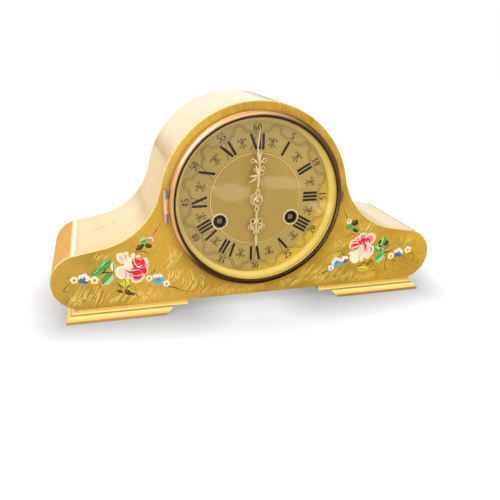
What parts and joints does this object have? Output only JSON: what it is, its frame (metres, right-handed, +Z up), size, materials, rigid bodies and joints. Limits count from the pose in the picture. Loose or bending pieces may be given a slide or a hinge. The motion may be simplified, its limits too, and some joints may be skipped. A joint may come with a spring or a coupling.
{
  "type": "mantel clock",
  "caption": "Tambour mantel clock: gold-lacquered case on two moulded feet, hinged glazed bezel over a round dial, rear door, and a spring movement with pendulum and bell strike.",
  "frame": {"origin": "on the surface that the feet stand on, under the middle of the clock's bounding box", "axes": "+X to the viewer's right along the case, -Y out of the dial towards the viewer, +Z up"},
  "size_m": [0.3754, 0.1196, 0.1955],
  "materials": {
    "gold_lacquer": "gold lacquer, fine crackle",
    "gold_foot": "gold lacquer on moulding",
    "plain_wood": "stained beech",
    "bright_brass": "polished and lacquered",
    "dial_gold": "satin gold with printed numbers",
    "gilt_hands": "gilt",
    "movement_brass": "brushed",
    "bell_metal": "turned and polished",
    "steel": "bright steel",
    "glass": "clear domed glass"
  },
  "bodies": {
    "case": {"front_panel": "gold_lacquer", "case_band": "gold_lacquer", "base_board": "plain_wood", "back_panel": "plain_wood", "left_foot": "gold_foot", "right_foot": "gold_foot", "foot_screws": "steel", "bezel_hinge_leaf": "bright_brass", "bezel_hinge_pin": "steel", "rear_hinge_leaves": "bright_brass", "rear_hinge_pins": "steel", "dial_plate": "dial_gold", "winding_hole_ferrules": "bright_brass", "movement_front_plate": "movement_brass", "movement_back_plate": "movement_brass", "movement_posts": "steel", "movement_pillars": "steel", "movement_screws": "steel", "ratchet_clicks": "steel", "suspension_cock": "movement_brass", "suspension_spring": "steel", "bell_stand": "steel", "bell": "bell_metal"},
    "bezel_door": {"bezel_ring": "bright_brass", "bezel_glass": "glass", "sight_ring": "bright_brass", "bezel_thumb_tab": "bright_brass", "bezel_hinge_knuckle": "bright_brass"},
    "back_door": {"rear_door": "plain_wood", "rear_door_knob": "bright_brass", "rear_door_leaves": "bright_brass"},
    "time_winder": {"time_winding_arbor": "steel"},
    "strike_winder": {"strike_winding_arbor": "steel"},
    "centre_arbor": {"centre_wheel": "movement_brass", "cannon_pinion": "steel", "minute_hand": "gilt_hands", "hand_nut": "gilt_hands"},
    "time_drum": {"time_barrel": "movement_brass", "time_mainspring": "steel"},
    "second_arbor": {"time_second_wheel": "movement_brass"},
    "third_arbor": {"third_wheel": "movement_brass"},
    "escape_arbor": {"escape_wheel": "movement_brass"},
    "motion_arbor": {"minute_wheel": "movement_brass"},
    "hour_pipe": {"hour_wheel": "movement_brass", "hour_hand": "gilt_hands"},
    "pendulum": {"pallet_anchor": "steel", "pendulum_rod": "steel", "pendulum_bob": "movement_brass", "rating_nut": "movement_brass"},
    "pin_arbor": {"pin_wheel": "movement_brass"},
    "strike_drum": {"strike_barrel": "movement_brass", "strike_mainspring": "steel"},
    "strike_second_arbor": {"strike_second_wheel": "movement_brass", "count_wheel": "movement_brass"},
    "warning_arbor": {"warning_wheel": "movement_brass"},
    "fly_arbor": {"strike_fly": "movement_brass"},
    "hammer_arbor": {"hammer": "steel"}
  },
  "joints": [
    {"name": "bezel_hinge", "type": "hinge", "parent": "case", "child": "bezel_door", "pos_m": [-0.0842, -0.05382, 0.106], "axis": [0, 0, -1], "range_deg": [0, 110]},
    {"name": "rear_door_hinge", "type": "hinge", "parent": "case", "child": "back_door", "pos_m": [0.0618, 0.05448, 0.106], "axis": [0, 0, -1], "range_deg": [0, 100]},
    {"name": "minute_spin", "type": "hinge", "parent": "case", "child": "centre_arbor", "pos_m": [0, -0.02122, 0.106], "axis": [0, 1, 0], "continuous": true},
    {"name": "hour_spin", "type": "hinge", "parent": "case", "child": "hour_pipe", "pos_m": [0, -0.02122, 0.106], "axis": [0, 1, 0], "continuous": true},
    {"name": "minute_wheel_spin", "type": "hinge", "parent": "case", "child": "motion_arbor", "pos_m": [0, -0.02122, 0.118], "axis": [0, 1, 0], "continuous": true},
    {"name": "time_barrel_spin", "type": "hinge", "parent": "case", "child": "time_drum", "pos_m": [0.0345, -0.02122, 0.0869], "axis": [0, 1, 0], "continuous": true},
    {"name": "second_wheel_spin", "type": "hinge", "parent": "case", "child": "second_arbor", "pos_m": [0.01898, -0.02122, 0.10676], "axis": [0, 1, 0], "continuous": true},
    {"name": "third_wheel_spin", "type": "hinge", "parent": "case", "child": "third_arbor", "pos_m": [0.00915, -0.02122, 0.12196], "axis": [0, 1, 0], "continuous": true},
    {"name": "escape_wheel_spin", "type": "hinge", "parent": "case", "child": "escape_arbor", "pos_m": [0, -0.02122, 0.137], "axis": [0, 1, 0], "continuous": true},
    {"name": "pendulum_swing", "type": "hinge", "parent": "case", "child": "pendulum", "pos_m": [0, -0.02122, 0.15135], "axis": [0, 1, 0], "range_deg": [-3.5, 3.5]},
    {"name": "time_winding", "type": "hinge", "parent": "case", "child": "time_winder", "pos_m": [0.0345, -0.02122, 0.0869], "axis": [0, 1, 0], "range_deg": [0, 2160]},
    {"name": "strike_winding", "type": "hinge", "parent": "case", "child": "strike_winder", "pos_m": [-0.0345, -0.02122, 0.0869], "axis": [0, 1, 0], "range_deg": [0, 2160]},
    {"name": "pin_wheel_spin", "type": "hinge", "parent": "case", "child": "pin_arbor", "pos_m": [-0.02397, -0.02122, 0.12863], "axis": [0, 1, 0], "continuous": true},
    {"name": "strike_barrel_spin", "type": "hinge", "parent": "case", "child": "strike_drum", "pos_m": [-0.0345, -0.02122, 0.0869], "axis": [0, 1, 0], "continuous": true},
    {"name": "strike_second_spin", "type": "hinge", "parent": "case", "child": "strike_second_arbor", "pos_m": [-0.03012, -0.02122, 0.11172], "axis": [0, 1, 0], "continuous": true},
    {"name": "warning_spin", "type": "hinge", "parent": "case", "child": "warning_arbor", "pos_m": [-0.03117, -0.02122, 0.1411], "axis": [0, 1, 0], "continuous": true},
    {"name": "fly_spin", "type": "hinge", "parent": "case", "child": "fly_arbor", "pos_m": [-0.02064, -0.02122, 0.14493], "axis": [0, 1, 0], "continuous": true},
    {"name": "hammer_lift", "type": "hinge", "parent": "case", "child": "hammer_arbor", "pos_m": [-0.052, -0.02122, 0.14], "axis": [0, 1, 0], "range_deg": [0, 8], "stiffness_Nm_per_rad": 0.02, "springref_deg": -11.46}
  ],
  "couplings": [
    {"joint": "hour_spin", "follows": "minute_spin", "ratio": 0.083333},
    {"joint": "minute_wheel_spin", "follows": "minute_spin", "ratio": -0.33333},
    {"joint": "time_barrel_spin", "follows": "minute_spin", "ratio": 0.03125},
    {"joint": "second_wheel_spin", "follows": "minute_spin", "ratio": -0.1875},
    {"joint": "third_wheel_spin", "follows": "minute_spin", "ratio": -10.5},
    {"joint": "escape_wheel_spin", "follows": "minute_spin", "ratio": 105},
    {"joint": "strike_barrel_spin", "follows": "pin_wheel_spin", "ratio": 0.018519},
    {"joint": "strike_second_spin", "follows": "pin_wheel_spin", "ratio": -0.11111},
    {"joint": "warning_spin", "follows": "pin_wheel_spin", "ratio": -8},
    {"joint": "fly_spin", "follows": "pin_wheel_spin", "ratio": 48}
  ]
}
